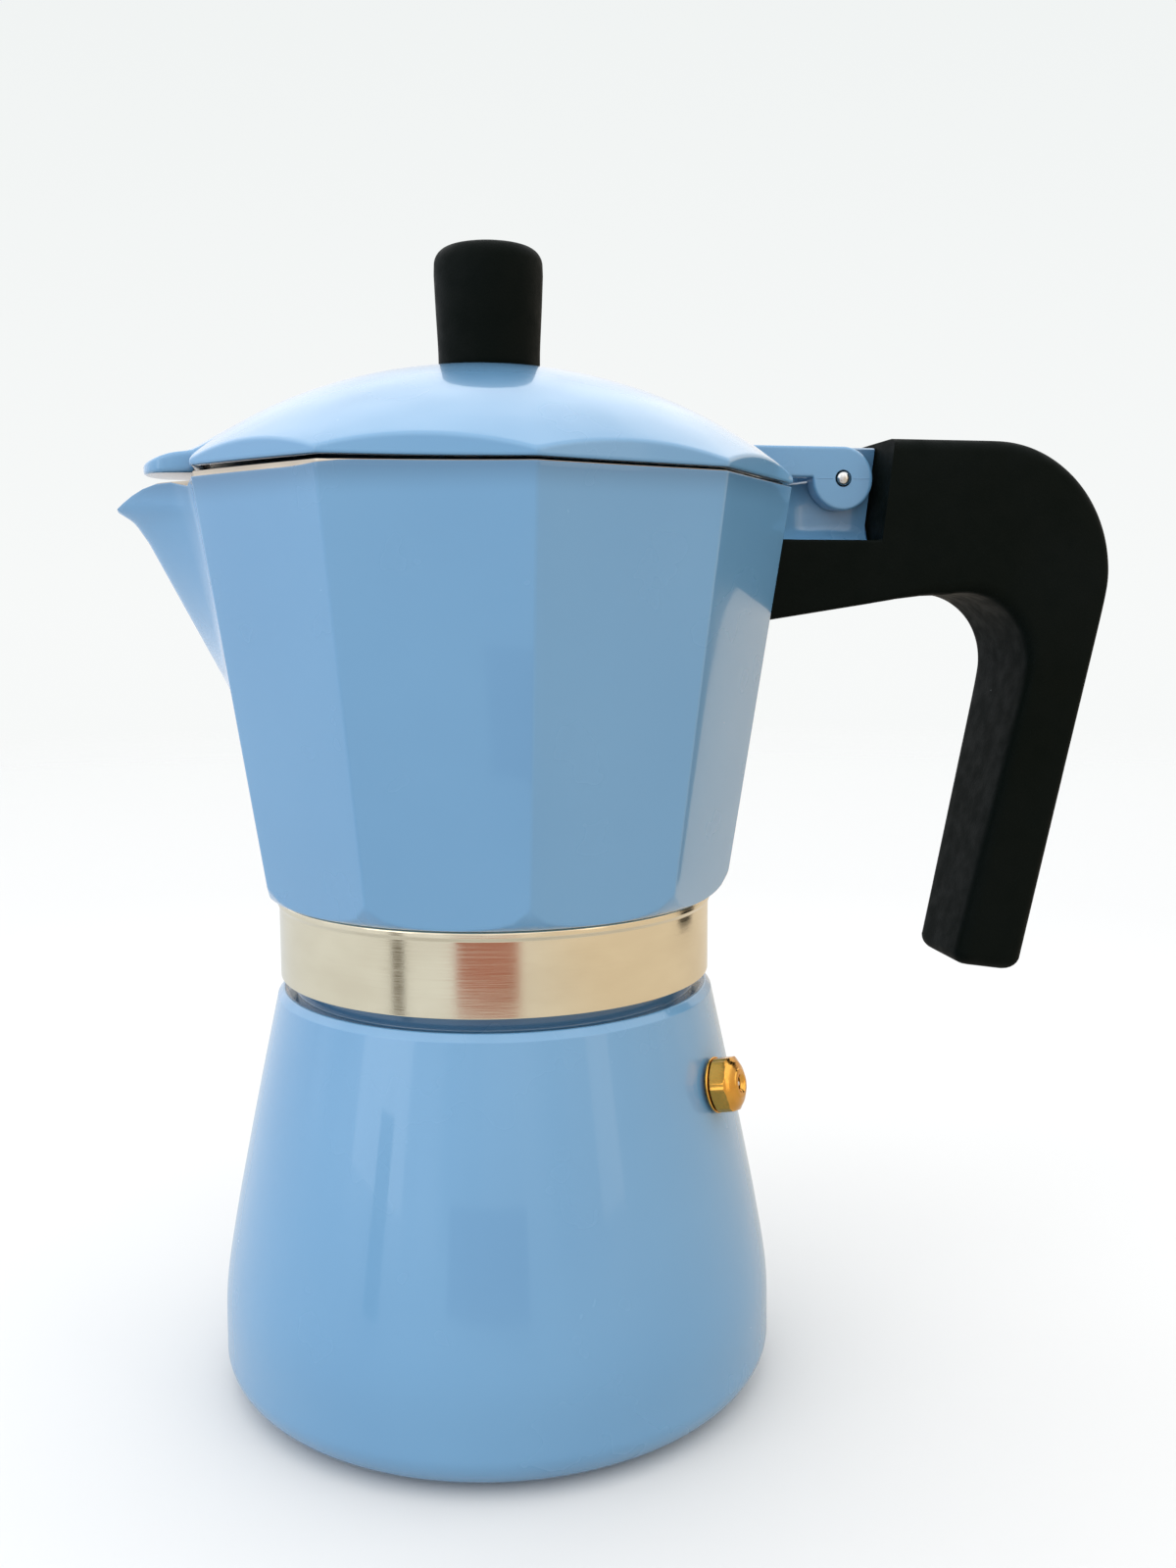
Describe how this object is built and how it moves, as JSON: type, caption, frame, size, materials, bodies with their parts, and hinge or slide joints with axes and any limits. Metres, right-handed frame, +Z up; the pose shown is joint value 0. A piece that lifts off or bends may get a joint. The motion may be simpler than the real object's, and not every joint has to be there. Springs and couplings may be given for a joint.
{
  "type": "moka pot",
  "caption": "Stovetop moka pot with a flared boiler, facetted collector with spout, hinged domed lid, safety valve and curved handle.",
  "frame": {"origin": "centre of the boiler's flat base, on the pot's axis", "axes": "+Z up along the pot's axis, +X towards the handle, so the spout points along -X and the safety valve stands between +X and -Y"},
  "size_m": [0.1816, 0.1084, 0.205],
  "materials": {
    "painted_boiler": "gloss pale blue enamel",
    "painted_collector": "gloss pale blue enamel",
    "painted_lid": "gloss pale blue enamel",
    "collar_metal": "machined, fine grain round the band",
    "bare_aluminium": "satin",
    "steel": "polished",
    "brass": "machined, polished",
    "black_plastic": "satin, faint moulded texture",
    "seal_rubber": "matte"
  },
  "bodies": {
    "boiler_body": {"boiler": "painted_boiler", "valve_body": "brass", "valve_washer": "brass", "valve_nut": "brass", "valve_seat": "brass", "valve_spring": "steel"},
    "valve_pin_body": {"valve_pin": "steel"},
    "funnel_body": {"funnel": "bare_aluminium", "funnel_screen": "bare_aluminium"},
    "seal_body": {"gasket": "seal_rubber", "filter_plate": "steel"},
    "collector_body": {"collector": "painted_collector", "threaded_collar": "collar_metal", "riser_column": "bare_aluminium", "column_cap": "bare_aluminium", "hinge_pin": "steel", "handle": "black_plastic", "handle_washer": "steel", "handle_screw": "steel"},
    "lid_body": {"lid": "painted_lid", "knob": "black_plastic", "knob_insert": "brass", "knob_washer": "steel", "knob_screw": "steel"}
  },
  "joints": [
    {"name": "valve_blow", "type": "slide", "parent": "boiler_body", "child": "valve_pin_body", "axis": [0.7933, -0.5764, 0.1959], "range_m": [0, 0.0012], "stiffness_N_per_m": 900, "springref_m": -0.0005, "deforming": ["valve_spring"]},
    {"name": "funnel_lift", "type": "slide", "parent": "boiler_body", "child": "funnel_body", "axis": [0, 0, 1], "range_m": [0, 0.09]},
    {"name": "seal_rise", "type": "slide", "parent": "funnel_body", "child": "seal_body", "axis": [0, 0, 1], "range_m": [0, 0.0105]},
    {"name": "collector_turn", "type": "hinge", "parent": "seal_body", "child": "collector_body", "pos_m": [0, 0, 0.09], "axis": [0, 0, 1], "range_deg": [0, 720]},
    {"name": "lid_hinge", "type": "hinge", "parent": "collector_body", "child": "lid_body", "pos_m": [0.0644, 0, 0.1653], "axis": [0, 1, 0], "range_deg": [0, 100]}
  ],
  "couplings": [
    {"joint": "seal_rise", "follows": "collector_turn", "m_per_rad": 0.00079577}
  ]
}
